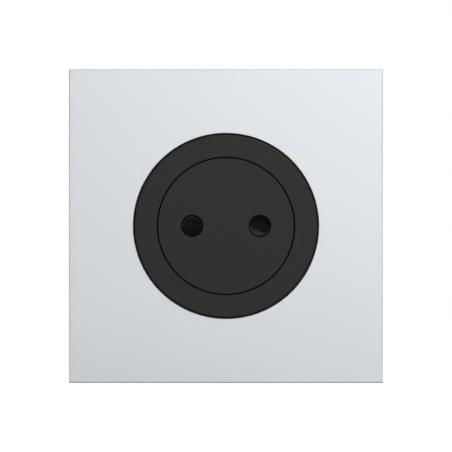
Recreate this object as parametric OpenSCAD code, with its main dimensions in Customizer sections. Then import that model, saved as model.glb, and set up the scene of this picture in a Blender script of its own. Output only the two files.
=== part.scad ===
// Flush two-pole wall socket: a square aluminium plate, a black ring and a round face that
// a plug pushes back into its well. Millimetres.
// Each piece is drawn lying on its back: x to the right, y up the wall and z out of the
// wall, with z = 0 on the wall. in_wall() stands it up, so that +Z is up and the face
// looks along -Y. The origin is the middle of the wall-box screws, on the wall.

/* [Cover plate] */
// Width and height of the square aluminium plate
plate_w = 88; // [86:0.5:100]
// Thickness of the aluminium sheet
plate_t = 2.5; // [1.5:0.1:3]
// Height of the plate's front above the wall
plate_front = 8; // [7.8:0.1:10]
// Chamfer along the plate's front edges
plate_chamfer = 0.3; // [0.1:0.1:0.6]
// Gap between the ring and the plate's round opening
ring_gap = 0.4; // [0.3:0.05:0.6]
// How far the plastic carrier stays inside the plate's outline
carrier_inset = 0.8; // [0.4:0.1:1.6]
// Thickness of the carrier's walls and web
carrier_wall = 1.6; // [1.2:0.1:1.8]

/* [Ring and well] */
// Width of the ring, from the edge of the plug well to its outer edge
ring_w = 6.25; // [6.1:0.05:7]
// How far the ring and the face stand in front of the plate
ring_proud = 0.3; // [0.2:0.1:0.8]
// Thickness of the ring's front wall
ring_t = 1.8; // [1.4:0.1:2.2]
// Inner diameter of the plug well
well_d = 38.7; // [38:0.1:39]
// Wall of the well's tube
well_wall = 2.4; // [2.2:0.1:2.6]

/* [Sprung face] */
// Gap between the face and the well
face_gap = 0.3; // [0.2:0.05:0.4]
// Thickness of the face's front wall
face_t = 2.2; // [2:0.1:2.6]
// Thickness of the face's skirt
skirt_t = 1.6; // [1.4:0.1:2]
// Depth that a plug pushes the face in
face_travel = 16.5; // [14:0.5:18]
// Wire of the two return springs
spring_wire = 0.6; // [0.5:0.05:0.7]
// Turns of each return spring
spring_turns = 11; // [9:1:12]

/* [Pin holes] */
// Distance between the two pins
pin_spacing = 19; // [18.8:0.1:19.2]
// Diameter of each pin hole in the face
pin_mouth_d = 6.2; // [6:0.1:6.6]
// Diameter that stays clear for each pin behind the face
pin_hole_d = 5.4; // [5.2:0.1:5.6]

/* [Shutter] */
// Thickness of the rotary shutter
shutter_h = 4.8; // [4.4:0.1:5.6]
// Angle that the shutter turns to clear the pins
shutter_turn = 38; // [37:1:41]

/* [Contact block] */
// Diameter of the contact block
base_d = 52; // [51.5:0.5:54]
// Depth of the contact block
base_h = 12.6; // [12.4:0.1:15]
// Thickness of the block's walls and floors
base_wall = 2; // [1.6:0.1:2.4]
// Thickness of the rear cover
rear_t = 1.8; // [1.4:0.1:2.6]
// Diameter of each wire hole in the terminals
wire_d = 3.2; // [2.8:0.1:3.4]
// Thickness of the brass contact strip
contact_t = 0.7; // [0.5:0.05:0.8]

/* [Support frame] */
// How far the steel frame stays inside the plate's outline on each side
frame_inset = 8.5; // [8:0.1:8.8]
// Thickness of the steel
frame_t = 1.2; // [1:0.1:1.4]
// Distance between two opposite wall-box screws
box_spacing = 60; // [59:0.5:61]
// Width of each wall-box screw slot
slot_w = 4.2; // [3.6:0.1:4.4]

/* [Hidden] */
$fn = 96;

// How far a cutting shape runs past what it cuts
over = 1;
// How deep one shape of a piece runs into the next, so that they are one solid
join = 0.2;
// Clearance round a piece that is dropped into its seat
play = 0.15;
// Clearance between a screw and its hole, and the depth left free at its tip
screw_play = 0.05;
hole_spare = 0.4;

// Plate and carrier
plate_back = plate_front - plate_t;
ring_r = well_d / 2 + ring_w;
opening_d = 2 * (ring_r + ring_gap);
carrier_w = plate_w - 2 * carrier_inset;
web_back = plate_back - carrier_wall;
stud_inset = 8;
stud_at = plate_w / 2 - stud_inset;
stud_d = 3;
stud_h = carrier_wall + 1;
washer_d = 7;
washer_t = 0.4;
rib_t = 1.2;
rib_step = carrier_w / 6;
rib_gap = 0.6;

// Ring, well and flange
ring_front = plate_front + ring_proud;
ring_edge = 0.35;
ring_skirt = 1.4;
sleeve_t = 1.6;
sleeve_h = 1.5;
sleeve_slope = 1;
well_r = well_d / 2;
tube_r = well_r + well_wall;
tube_top = ring_front - ring_t - sleeve_h;
flange_t = 2;
flange_top = frame_t + flange_t;
flange_r = opening_d / 2 + 1.4;
tube_rib_h = 1.2;
tube_rib_w = 1.4;

// Hooks that hold the ring, which pass through slots in the flange
hook_angles = [20, 160, 200, 340];
hook_w = 5;
hook_t = 1.2;
hook_in = tube_r + 0.5;
hook_out = hook_in + hook_t;
hook_bite = 1.05;
hook_head = 1.2;
hook_top = 0.3;
hook_nose = 0.3;
slot_play = 0.25;

// Sprung face, its guide nubs and the space for the shutter
face_r = well_r - face_gap;
skirt_r = face_r - skirt_t;
face_edge = 0.12;
face_back = ring_front - face_t;
cover_t = 1.6;
cover_front = face_back - shutter_h - 2 * play;
cover_back = cover_front - cover_t;
nub_angles = [45, 135, 225, 315];
nub_w = 4;
nub_h = 2.2;
nub_bite = 1.2;
nub_play = 0.2;
nub_top = cover_back + nub_h;

// Pin holes
pin_x = pin_spacing / 2;
pin_hole_r = pin_hole_d / 2;
pin_mouth_r = pin_mouth_d / 2;
mouth_edge = 0.12;
pin_pass_r = pin_hole_r + 0.2;
pin_len = 19;

// Shutter
hub_r = 3;
pivot_r = 2;
pivot_play = 0.06;
pivot_short = 0.4;
arm_in = 4.6;
arm_out = 13.2;
groove_in = pin_hole_r + 0.05;
groove_out = pin_mouth_r + 0.3;
arm_upper = pin_mouth_r;
arm_lower = groove_out + 0.3;
cup_r = groove_in - 0.3;
ramp_knee = 1.05;
ramp_mid = 2.4;
ramp_low = 0.7;
ramp_skew = 12;
shutter_web = 1.4;
groove_d = shutter_h - shutter_web;
shutter_z = cover_front + play;
stop_t = 1.2;
stop_from = 12.2;
stop_to = 14.6;
stop_play = 0.05;

// Torsion spring round the shutter's hub
torsion_wire = 0.4;
torsion_r = 3.8;
torsion_turns = 2.5;
torsion_tang = 0.8;
torsion_gap = 0.1;
torsion_z = shutter_z + shutter_web + torsion_gap;
torsion_len = face_back - torsion_gap - torsion_z;

// Screws that hold the shutter's cover
cover_screw_y = 7.9;
cover_boss_r = 2.3;
small_screw_r = 0.9;
small_screw_head_r = 1.8;
small_screw_sink = 0.9;
small_screw_len = 4.6;
small_slot_w = 0.4;
small_slot_d = 0.5;

// Return springs and their posts
spring_r = 2.1;
spring_post_r = spring_r - spring_wire / 2 - 0.3;
spring_hole_r = spring_r + spring_wire / 2 + 0.4;
spring_y = skirt_r - spring_hole_r - 0.8;
spring_floor = 1.2;
spring_end = 0.1;
spring_post_low = 8;

// Contact block and rear cover
base_r = base_d / 2;
face_end_gap = 0.3;
base_front = cover_back - face_travel - face_end_gap;
base_back = base_front - base_h;
chamber_top = base_front - base_wall;
rear_back = base_back - rear_t;
rear_edge = 0.5;
gauge_len = 11;
gauge_w = 1.6;
gauge_d = 0.5;
base_pin_r = pin_hole_r + 0.1;

// Screws that hold the block and its cover to the well, on one diagonal
body_screw_angle = 135;
body_screw_at = tube_r + 2.2;
body_boss_r = 2.9;
body_boss_h = 9;
body_screw_r = 1.2;
body_head_r = 2.2;
body_head_h = 1.4;
body_screw_bite = 7;

// Screws that hold the well's flange to the frame, on the other diagonal
frame_screw_angle = 45;
frame_lug_r = 3;
frame_screw_r = 1.2;
frame_head_r = 2.3;
frame_screw_at = opening_d / 2 + frame_head_r + 0.3;
frame_head_sink = 1.1;
frame_screw_len = flange_top + 0.8;

// Contacts: each is a stamped strip with two leaves that grip a pin
contact_w = 6;
leaf_top = chamber_top - 0.6;
leaf_low = base_back + 1.4;
leaf_wide = 2.9;
leaf_pinch = 1.9;
leaf_mouth = 3.1;
leaf_foot = 0.6;
leaf_rise = 1.6;
waist_top = leaf_top - 2.2;
waist_low = waist_top - 2.4;
clip_t = 0.4;
clip_h = 2;
clip_play = 0.02;
clip_back_play = 0.25;
clip_corner = 0.3;
clip_flare = 0.5;
chamber_in = pin_x - leaf_mouth - contact_t - 0.7;
chamber_half = contact_w / 2 + 1.4;

// Terminals: brass blocks, each with two wire holes and two clamp screws
block_w = 6.2;
block_in = base_r - block_w - 5;
block_len = 15;
block_low = base_back + 0.2;
block_top = chamber_top - 1.7;
block_mid = (block_low + block_top) / 2;
block_out = block_in + block_w;
wire_r = wire_d / 2;
wire_x = block_in + wire_r + 0.8;
wire_y = 3.9;
wire_entry_r = wire_r + 0.3;
entry_cone = 0.6;
clamp_screw_r = 1.5;
clamp_head_r = 2.7;
clamp_head_h = 1.8;
clamp_head_play = 0.3;
clamp_head_at = block_out + 1;
clamp_tip = wire_x + wire_r + 0.05;
driver_slot_w = 0.7;
driver_slot_d = 0.8;
rivet_r = 0.9;
rivet_end = 0.3;

// Support frame
frame_w = plate_w - 2 * frame_inset;
frame_corner = 4;
corner_hole_at = frame_w / 2 - 6.5;
corner_hole_r = 1.8;
notch_w = 6;
notch_depth = 1.2;
frame_opening_r = hook_out + 0.45;
slot_len = 8;
tab_at = 22;
tab_w = 8;
tab_bend = 0.6;
tab_relief = 1;
tab_top = web_back - 0.3;
tab_out = frame_w / 2;
catch_low = frame_t + tab_bend + 0.2;
catch_h = 0.9;
catch_w = 5;
catch_play = 0.1;
leg_t = 1.4;
leg_w = 7;
leg_play = 0.2;

// Fineness of the wire in the springs
wire_sides = 6;
coil_steps = 14;

module in_wall() rotate([90, 0, 0]) children();

// The same shape turned to each of the given angles
module at_angles(angles) {
    for (a = angles) rotate(a) children();
}

// The same shape at both ends of a line through the middle
module both_ways() {
    children();
    rotate(180) children();
}

// A ring drawn by its radii, from z = low to z = high
module tube(outer, inner, low, high) {
    translate([0, 0, low]) difference() {
        cylinder(r = outer, h = high - low);
        translate([0, 0, -over]) cylinder(r = inner, h = high - low + 2 * over);
    }
}

// A cylinder from z = low to z = high
module post(r, low, high) translate([0, 0, low]) cylinder(r = r, h = high - low);

// A hole that is cut down from z = top to z = bottom, with a sunk cone for a screw head
module sunk_hole(r, head_r, sink, top, bottom) {
    post(r, bottom - over, top + over);
    translate([0, 0, top - sink]) cylinder(r1 = r, r2 = head_r, h = sink);
    post(head_r, top - 0.001, top + over);
}

// A square plate with round corners, on z = 0
module rounded_plate(w, corner, h) {
    linear_extrude(h) {
        square([w - 2 * corner, w], center = true);
        square([w, w - 2 * corner], center = true);
        for (x = [-1, 1], y = [-1, 1])
            translate([x * (w / 2 - corner), y * (w / 2 - corner)]) circle(corner);
    }
}

// A slot with round ends along x
module slot(w, length, low, high) {
    for (x = [-1, 1]) translate([x * (length - w) / 2, 0, 0]) post(w / 2, low, high);
    translate([-(length - w) / 2, -w / 2, low]) cube([length - w, w, high - low]);
}

// A flat strip bent along a path in x and z, and as wide as w along y
function unit(v) = v / norm(v);
function left_of(v) = [-v[1], v[0]];
function mitre(path, i) =
    let (
        last = len(path) - 1,
        a = left_of(unit(path[min(i + 1, last)] - path[min(i, last - 1)])),
        b = left_of(unit(path[max(i, 1)] - path[max(i - 1, 0)]))
    )
    (a + b) / (1 + a * b);
function strip(path, t) = concat(
    [for (i = [0 : len(path) - 1]) path[i] + mitre(path, i) * t / 2],
    [for (i = [len(path) - 1 : -1 : 0]) path[i] - mitre(path, i) * t / 2]
);
module bent_strip(path, t, w) {
    rotate([90, 0, 0]) linear_extrude(w, center = true) polygon(strip(path, t));
}

// Height of a coil's wire after t turns: the end turns lie close, the rest share a pitch
function coil_height(t, wire, length, turns) =
    let (close = 1.35 * wire, free = length - wire - 2 * close)
    t < 1 ? wire / 2 + close * t
    : t > turns - 1 ? length - wire / 2 - close * (turns - t)
    : wire / 2 + close + free * (t - 1) / (turns - 2);

// A coil spring round z, standing on z = 0. Its wire is a loop of points at each step.
module coil(mean_r, wire, length, turns, even = false) {
    steps = round(turns * coil_steps);
    points = [
        for (i = [0 : steps])
        let (
            t = turns * i / steps,
            z = even ? wire / 2 + (length - wire) * t / turns
                : coil_height(t, wire, length, turns)
        )
        for (j = [0 : wire_sides - 1])
        let (b = 360 * j / wire_sides, r = mean_r + wire / 2 * cos(b))
        [r * cos(360 * t), r * sin(360 * t), z + wire / 2 * sin(b)]
    ];
    function at(i, j) = i * wire_sides + j % wire_sides;
    sides = [
        for (i = [0 : steps - 1], j = [0 : wire_sides - 1])
        for (face = [
            [at(i, j), at(i, j + 1), at(i + 1, j + 1)],
            [at(i, j), at(i + 1, j + 1), at(i + 1, j)]
        ]) face
    ];
    first = [[for (j = [wire_sides - 1 : -1 : 0]) at(0, j)]];
    last = [[for (j = [0 : wire_sides - 1]) at(steps, j)]];
    polyhedron(points, concat(sides, first, last), convexity = 20);
}

// Square aluminium plate with a round opening and four studs on its back
module cover_plate() {
    color([0.85, 0.87, 0.89]) {
        difference() {
            translate([-plate_w / 2, -plate_w / 2, plate_back])
                cube([plate_w, plate_w, plate_t]);
            post(opening_d / 2, plate_back - over, plate_front + over);
            translate([0, 0, plate_front - plate_chamfer / 2])
                cylinder(
                    r1 = opening_d / 2,
                    r2 = opening_d / 2 + plate_chamfer / 2 + over,
                    h = plate_chamfer / 2 + over
                );
            for (a = [0 : 90 : 270]) rotate(a)
                translate([plate_w / 2, 0, plate_front]) rotate([0, 45, 0])
                    cube(
                        [plate_chamfer * sqrt(2), plate_w + 2 * over, plate_chamfer * sqrt(2)],
                        center = true
                    );
        }
        for (x = [-1, 1], y = [-1, 1])
            translate([x * stud_at, y * stud_at, 0])
                post(stud_d / 2, plate_back - stud_h, plate_back);
    }
}

// One clip leg of the carrier, with a barb that enters a tab of the frame
module clip_leg() {
    leg_in = tab_out + leg_play;
    barb_in = tab_out - frame_t + catch_play;
    translate([leg_in, -leg_w / 2, frame_t / 2])
        cube([leg_t, leg_w, web_back + join - frame_t / 2]);
    rotate([90, 0, 0]) linear_extrude(catch_w - 2 * catch_play, center = true) polygon([
        [leg_in + join, catch_low + catch_play],
        [barb_in + catch_h / 2, catch_low + catch_play],
        [barb_in, catch_low + catch_h / 2],
        [barb_in, catch_low + catch_h - catch_play],
        [leg_in + join, catch_low + catch_h - catch_play]
    ]);
}

// Plastic frame behind the plate: a rim on the wall, a web under the plate and clip legs
module plate_carrier() {
    inner_w = carrier_w - 2 * carrier_wall;
    rib_from = tab_out + leg_play + leg_t + rib_gap;
    color([0.2, 0.2, 0.21]) {
        difference() {
            translate([-carrier_w / 2, -carrier_w / 2, 0])
                cube([carrier_w, carrier_w, plate_back]);
            translate([-inner_w / 2, -inner_w / 2, -over])
                cube([inner_w, inner_w, web_back + over]);
            post(opening_d / 2 + 0.5, 0, plate_front);
            for (x = [-1, 1], y = [-1, 1])
                translate([x * stud_at, y * stud_at, 0])
                    post(stud_d / 2 + play, 0, plate_front);
        }
        for (a = [0 : 90 : 270], i = [-2 : 2]) rotate(a)
            translate([rib_from, i * rib_step - rib_t / 2, frame_t])
                cube([
                    inner_w / 2 + join - rib_from,
                    rib_t,
                    web_back + join - frame_t
                ]);
        for (y = [-1, 1]) both_ways() translate([0, y * tab_at, 0]) clip_leg();
    }
}

// Push-on steel washers that hold the plate's studs behind the carrier's web
module stud_washers() {
    color([0.7, 0.71, 0.73])
        for (x = [-1, 1], y = [-1, 1])
            translate([x * stud_at, y * stud_at, 0])
                tube(washer_d / 2, stud_d / 2 + 0.02, web_back - washer_t, web_back);
}

// One tab of the frame, bent up at the edge, with a window for the carrier's barb
module frame_tab() {
    bend_x = tab_out - frame_t - tab_bend;
    bend_z = frame_t + tab_bend;
    difference() {
        rotate([90, 0, 0]) linear_extrude(tab_w, center = true) {
            translate([bend_x - 0.5, 0]) square([0.5, frame_t]);
            intersection() {
                difference() {
                    translate([bend_x, bend_z]) circle(tab_bend + frame_t);
                    translate([bend_x, bend_z]) circle(tab_bend);
                }
                translate([bend_x, 0]) square([tab_bend + frame_t, bend_z]);
            }
            translate([bend_x + tab_bend, bend_z]) square([frame_t, tab_top - bend_z]);
        }
        translate([tab_out - frame_t - over, -catch_w / 2, catch_low])
            cube([frame_t + 2 * over, catch_w, catch_h]);
    }
}

// Pressed steel frame that is screwed to the wall box and carries everything else
module support_frame() {
    tab_cut = frame_t + tab_bend;
    color([0.66, 0.68, 0.7]) {
        difference() {
            rounded_plate(frame_w, frame_corner, frame_t);
            post(frame_opening_r, -over, frame_t + over);
            rotate(body_screw_angle) both_ways() translate([body_screw_at, 0, 0])
                post(body_boss_r + slot_play, -over, frame_t + over);
            for (a = [0 : 90 : 270]) rotate(a) translate([box_spacing / 2, 0, 0])
                slot(slot_w, slot_len, -over, frame_t + over);
            rotate(frame_screw_angle) both_ways() translate([frame_screw_at, 0, 0])
                post(frame_screw_r + screw_play, -over, frame_t + over);
            for (x = [-1, 1], y = [-1, 1])
                translate([x * corner_hole_at, y * corner_hole_at, 0])
                    post(corner_hole_r, -over, frame_t + over);
            for (a = [90, 270]) rotate(a)
                translate([frame_w / 2 - notch_depth, -notch_w / 2, -over])
                    cube([notch_depth + over, notch_w, frame_t + 2 * over]);
            for (y = [-1, 1]) both_ways()
                translate([tab_out - tab_cut, y * tab_at - tab_w / 2 - tab_relief, -over])
                    cube([tab_cut + over, tab_w + 2 * tab_relief, frame_t + 2 * over]);
        }
        for (y = [-1, 1]) both_ways() translate([0, y * tab_at, 0]) frame_tab();
    }
}

// Countersunk screws through the well's flange into the frame
module frame_screws() {
    color([0.75, 0.75, 0.72])
        rotate(frame_screw_angle) both_ways() translate([frame_screw_at, 0, 0]) difference() {
            union() {
                post(frame_screw_r, flange_top - frame_screw_len, flange_top);
                translate([0, 0, flange_top - frame_head_sink])
                    cylinder(r1 = frame_screw_r, r2 = frame_head_r, h = frame_head_sink);
            }
            for (a = [0, 90]) rotate(a)
                translate([-frame_screw_r, -driver_slot_w / 2, flange_top - driver_slot_d])
                    cube([2 * frame_screw_r, driver_slot_w, driver_slot_d + over]);
        }
}

// One hook of the ring, at the angle 0
module ring_hook() {
    translate([hook_in, -hook_w / 2, hook_top - hook_head])
        cube([hook_t, hook_w, ring_front - ring_t + join - hook_top + hook_head]);
    rotate([90, 0, 0]) linear_extrude(hook_w, center = true) polygon([
        [hook_in + join, hook_top],
        [hook_in - hook_bite, hook_top],
        [hook_in - hook_bite, hook_top - hook_nose],
        [hook_in, hook_top - hook_head],
        [hook_in + join, hook_top - hook_head]
    ]);
}

// Black ring round the face: its sleeve is the well's mouth and its skirt fills the opening
module trim_ring() {
    wall_back = ring_front - ring_t;
    color([0.19, 0.19, 0.19]) {
        rotate_extrude() polygon([
            [well_r, tube_top],
            [well_r, ring_front - face_edge],
            [well_r + face_edge, ring_front],
            [ring_r - ring_edge, ring_front],
            [ring_r, ring_front - ring_edge],
            [ring_r, flange_top],
            [ring_r - ring_skirt, flange_top],
            [ring_r - ring_skirt, wall_back],
            [well_r + sleeve_t, wall_back],
            [well_r + sleeve_t, tube_top]
        ]);
        at_angles(hook_angles) ring_hook();
    }
}

// Moulded well: a tube that guides the face, with a flange that sits on the frame
module well_housing() {
    boss_top = base_front + body_boss_h;
    color([0.16, 0.16, 0.165]) difference() {
        union() {
            rotate_extrude() polygon([
                [well_r, base_front],
                [well_r, tube_top],
                [well_r + sleeve_t, tube_top],
                [tube_r, flange_top + sleeve_slope],
                [tube_r, flange_top],
                [flange_r, flange_top],
                [flange_r, frame_t],
                [tube_r, frame_t],
                [tube_r, base_front]
            ]);
            rotate(frame_screw_angle) both_ways() {
                translate([frame_screw_at, 0, 0]) post(frame_lug_r, frame_t, flange_top);
                translate([tube_r, -frame_lug_r, frame_t])
                    cube([frame_screw_at - tube_r, 2 * frame_lug_r, flange_t]);
            }
            for (a = [0 : 90 : 270]) rotate(a)
                translate([tube_r - well_wall / 2, -tube_rib_w / 2, base_front])
                    cube([
                        well_wall / 2 + tube_rib_h,
                        tube_rib_w,
                        frame_t + join - base_front
                    ]);
            rotate(body_screw_angle) both_ways() {
                translate([body_screw_at, 0, 0]) post(body_boss_r, base_front, boss_top);
                translate([tube_r - well_wall / 2, -body_boss_r, base_front])
                    cube([
                        body_screw_at - tube_r + well_wall / 2,
                        2 * body_boss_r,
                        body_boss_h
                    ]);
            }
        }
        at_angles(nub_angles)
            translate([well_r - over, -nub_w / 2 - nub_play, base_front - over])
                cube([
                    over + nub_bite + nub_play,
                    nub_w + 2 * nub_play,
                    nub_top - base_front + over
                ]);
        at_angles(hook_angles) {
            translate([tube_r, -hook_w / 2 - slot_play, frame_t - over])
                cube([
                    hook_out + slot_play - tube_r,
                    hook_w + 2 * slot_play,
                    flange_t + 2 * over
                ]);
            translate([
                hook_in - hook_bite - play,
                -hook_w / 2 - slot_play,
                hook_top - hook_head - slot_play
            ]) cube([hook_bite + play + over, hook_w + 2 * slot_play, hook_head + slot_play + play]);
        }
        rotate(frame_screw_angle) both_ways() translate([frame_screw_at, 0, 0])
            sunk_hole(
                frame_screw_r + screw_play, frame_head_r + screw_play,
                frame_head_sink, flange_top, frame_t
            );
        rotate(body_screw_angle) both_ways() translate([body_screw_at, 0, 0])
            post(
                body_screw_r + screw_play, base_front - over,
                base_front + body_screw_bite + hole_spare
            );
    }
}

// One stop for the shutter's arm: a short wall under the face, beside the arm's edge
module arm_stop(edge) {
    translate([stop_from, edge, cover_front + play])
        cube([stop_to - stop_from, stop_t, face_back + join - cover_front - play]);
}

// Round face that the plug pushes in: a cup with two pin holes, guide nubs and posts
module face_disc() {
    color([0.19, 0.19, 0.19]) difference() {
        union() {
            rotate_extrude() polygon([
                [0, face_back],
                [0, ring_front],
                [face_r - face_edge, ring_front],
                [face_r, ring_front - face_edge],
                [face_r, cover_back],
                [skirt_r, cover_back],
                [skirt_r, face_back]
            ]);
            at_angles(nub_angles)
                translate([skirt_r + skirt_t / 2, -nub_w / 2, cover_back])
                    cube([well_r + nub_bite - skirt_r - skirt_t / 2, nub_w, nub_h]);
            post(pivot_r, cover_back + pivot_short, face_back + join);
            rotate(90) both_ways() {
                translate([cover_screw_y, 0, 0])
                    post(cover_boss_r, cover_front, face_back + join);
                translate([spring_y, 0, 0]) post(spring_post_r, cover_back, face_back + join);
            }
            both_ways() arm_stop(arm_upper + stop_play);
            rotate(-shutter_turn) both_ways() arm_stop(-arm_lower - stop_play - stop_t);
        }
        both_ways() translate([pin_x, 0, 0]) {
            post(pin_mouth_r, face_back - over, ring_front + over);
            translate([0, 0, ring_front - mouth_edge])
                cylinder(
                    r1 = pin_mouth_r,
                    r2 = pin_mouth_r + mouth_edge + over,
                    h = mouth_edge + over
                );
        }
        rotate(90) both_ways() translate([cover_screw_y, 0, 0])
            post(
                small_screw_r + screw_play, cover_front - over,
                cover_back + small_screw_len + hole_spare
            );
        translate([torsion_r, 0, 0])
            post(torsion_wire / 2 + play, face_back - over, face_back + torsion_tang + play);
    }
}

// The space over one arm's ramp: steep at the pin's edge, then gentle
module ramp_space() {
    rotate([0, 0, -ramp_skew]) rotate([90, 0, 90]) translate([0, 0, -arm_out])
        linear_extrude(2 * arm_out) polygon([
            [-cup_r, shutter_h + over],
            [-cup_r, shutter_h],
            [-ramp_knee, ramp_mid],
            [arm_upper, ramp_low],
            [2 * arm_upper, ramp_low],
            [2 * arm_upper, shutter_h + over]
        ]);
}

// One arm of the shutter: a ramp that a pin pushes aside. On its high side the ramp ends
// at a thin rim and a groove round the pin's place.
module shutter_arm() {
    difference() {
        intersection() {
            cylinder(r = arm_out, h = shutter_h);
            translate([arm_in, -arm_lower, 0])
                cube([arm_out - arm_in, arm_lower + arm_upper, shutter_h]);
        }
        translate([pin_x, 0, 0]) {
            intersection() {
                ramp_space();
                union() {
                    post(cup_r, 0, shutter_h + over);
                    translate([-arm_out, 0, 0])
                        cube([2 * arm_out, 2 * arm_upper, shutter_h + over]);
                }
            }
            translate([0, 0, shutter_h - groove_d]) intersection() {
                tube(groove_out, groove_in, 0, groove_d + over);
                translate([-arm_lower, -arm_lower, 0])
                    cube([2 * arm_lower, arm_lower, groove_d + over]);
            }
        }
    }
}

// Rotary shutter: a hub on the face's pivot, with a ramped arm behind each pin hole
module shutter() {
    color([0.14, 0.14, 0.14]) translate([0, 0, shutter_z]) difference() {
        union() {
            post(hub_r, 0, shutter_h);
            post(arm_in - join, 0, shutter_web);
            both_ways() {
                shutter_arm();
                translate([hub_r, -arm_upper, 0])
                    cube([arm_in - hub_r + join, 2 * arm_upper, shutter_web]);
            }
        }
        post(pivot_r + pivot_play, -over, shutter_h + over);
        translate([-torsion_r, 0, 0])
            post(
                torsion_wire / 2 + play,
                shutter_web - torsion_tang - play, shutter_web + over
            );
    }
}

// Torsion spring that turns the shutter back, with a straight tang at each end
module shutter_spring() {
    color([0.72, 0.73, 0.75]) translate([0, 0, torsion_z]) {
        rotate(180) coil(torsion_r, torsion_wire, torsion_len, torsion_turns, even = true);
        translate([-torsion_r, 0, 0])
            post(torsion_wire / 2, torsion_wire / 2 - torsion_tang, torsion_wire / 2);
        translate([torsion_r, 0, 0])
            post(
                torsion_wire / 2, torsion_len - torsion_wire / 2,
                torsion_len - torsion_wire / 2 + torsion_tang
            );
    }
}

// Plate that closes the back of the face and keeps the shutter on its pivot
module shutter_cover() {
    color([0.16, 0.16, 0.165]) difference() {
        post(skirt_r - play, cover_back, cover_front);
        post(pivot_r + pivot_play, cover_back - over, cover_front + over);
        both_ways() translate([pin_x, 0, 0])
            post(pin_pass_r, cover_back - over, cover_front + over);
        rotate(90) both_ways() {
            translate([spring_y, 0, 0])
                post(spring_hole_r, cover_back - over, cover_front + over);
            translate([cover_screw_y, 0, 0]) mirror([0, 0, 1])
                sunk_hole(
                    small_screw_r + screw_play, small_screw_head_r + screw_play,
                    small_screw_sink, -cover_back, -cover_front
                );
        }
    }
}

// Countersunk screws that hold the shutter's cover to the face
module shutter_screws() {
    color([0.72, 0.73, 0.75])
        rotate(90) both_ways() translate([cover_screw_y, 0, 0]) difference() {
            union() {
                post(small_screw_r, cover_back, cover_back + small_screw_len);
                translate([0, 0, cover_back])
                    cylinder(r1 = small_screw_head_r, r2 = small_screw_r, h = small_screw_sink);
            }
            for (a = [0, 90]) rotate(a)
                translate([-small_screw_r, -small_slot_w / 2, cover_back - over])
                    cube([2 * small_screw_r, small_slot_w, over + small_slot_d]);
        }
}

// Return spring between the face and the bottom of its pocket in the contact block
module return_spring(side) {
    low = base_back + spring_floor + spring_end;
    color([0.72, 0.73, 0.75]) translate([0, side * spring_y, low])
        coil(spring_r, spring_wire, face_back - spring_end - low, spring_turns);
}

// Space in the contact block for one contact and its terminal, open at the back
module pole_chamber() {
    translate([chamber_in, -chamber_half, base_back - over])
        cube([block_in - chamber_in, 2 * chamber_half, base_h - base_wall + over]);
    translate([block_in - contact_t - play, -block_len / 2 - play, base_back - over])
        cube([
            block_w + contact_t + 2 * play,
            block_len + 2 * play,
            block_top + play - base_back + over
        ]);
    translate([pin_x, 0, 0]) post(base_pin_r, chamber_top - over, base_front + over);
    for (y = [-1, 1]) translate([block_out, y * wire_y, block_mid]) rotate([0, 90, 0])
        cylinder(r = clamp_head_r + clamp_head_play, h = base_r);
}

// Contact block: chambers for the contacts and terminals, and pockets for the springs
module base_block() {
    color([0.62, 0.63, 0.64]) difference() {
        union() {
            post(base_r, base_back, base_front);
            rotate(body_screw_angle) both_ways() translate([body_screw_at, 0, 0])
                post(body_boss_r, base_back, base_front);
        }
        both_ways() pole_chamber();
        rotate(90) both_ways() translate([spring_y, 0, 0]) difference() {
            post(spring_hole_r, base_back + spring_floor, base_front + over);
            post(spring_post_r, base_back, base_back + spring_floor + spring_post_low);
        }
        rotate(body_screw_angle) both_ways() translate([body_screw_at, 0, 0])
            post(body_screw_r + screw_play, base_back - over, base_front + over);
    }
}

// Brass contact: two leaves that pinch a pin, joined below, and a tail up the terminal
module contact() {
    half = contact_t / 2;
    floor_z = leaf_low + half;
    leaf = [
        [leaf_wide + half - leaf_foot, floor_z],
        [leaf_wide + half, leaf_low + leaf_rise],
        [leaf_pinch + half, waist_low],
        [leaf_pinch + half, waist_top],
        [leaf_mouth + half, leaf_top]
    ];
    other_leaf = [for (i = [len(leaf) - 1 : -1 : 0]) [-leaf[i][0], leaf[i][1]]];
    tail_x = block_in - pin_x - half;
    color([0.83, 0.66, 0.32]) translate([pin_x, 0, 0]) {
        bent_strip(concat(other_leaf, leaf), contact_t, contact_w);
        difference() {
            bent_strip(
                [
                    [leaf_wide / 2, floor_z],
                    [tail_x, floor_z],
                    [tail_x, block_top - leaf_foot]
                ],
                contact_t, contact_w
            );
            translate([tail_x - over, 0, block_mid]) rotate([0, 90, 0])
                cylinder(r = rivet_r + screw_play, h = 2 * over);
        }
    }
}

// Steel clip that is pushed on from the side and squeezes the leaves at their waist
module contact_clip() {
    arm_x = leaf_pinch + contact_t + clip_play + clip_t / 2;
    back_y = -contact_w / 2 - clip_back_play - clip_t / 2;
    tip_y = contact_w / 2 - clip_flare;
    color([0.72, 0.73, 0.75])
        translate([pin_x, 0, (waist_top + waist_low - clip_h) / 2]) linear_extrude(clip_h)
            polygon(strip([
                [-arm_x - clip_flare, tip_y + 2 * clip_flare],
                [-arm_x, tip_y],
                [-arm_x, back_y + clip_corner],
                [-arm_x + clip_corner, back_y],
                [arm_x - clip_corner, back_y],
                [arm_x, back_y + clip_corner],
                [arm_x, tip_y],
                [arm_x + clip_flare, tip_y + 2 * clip_flare]
            ], clip_t));
}

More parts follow.
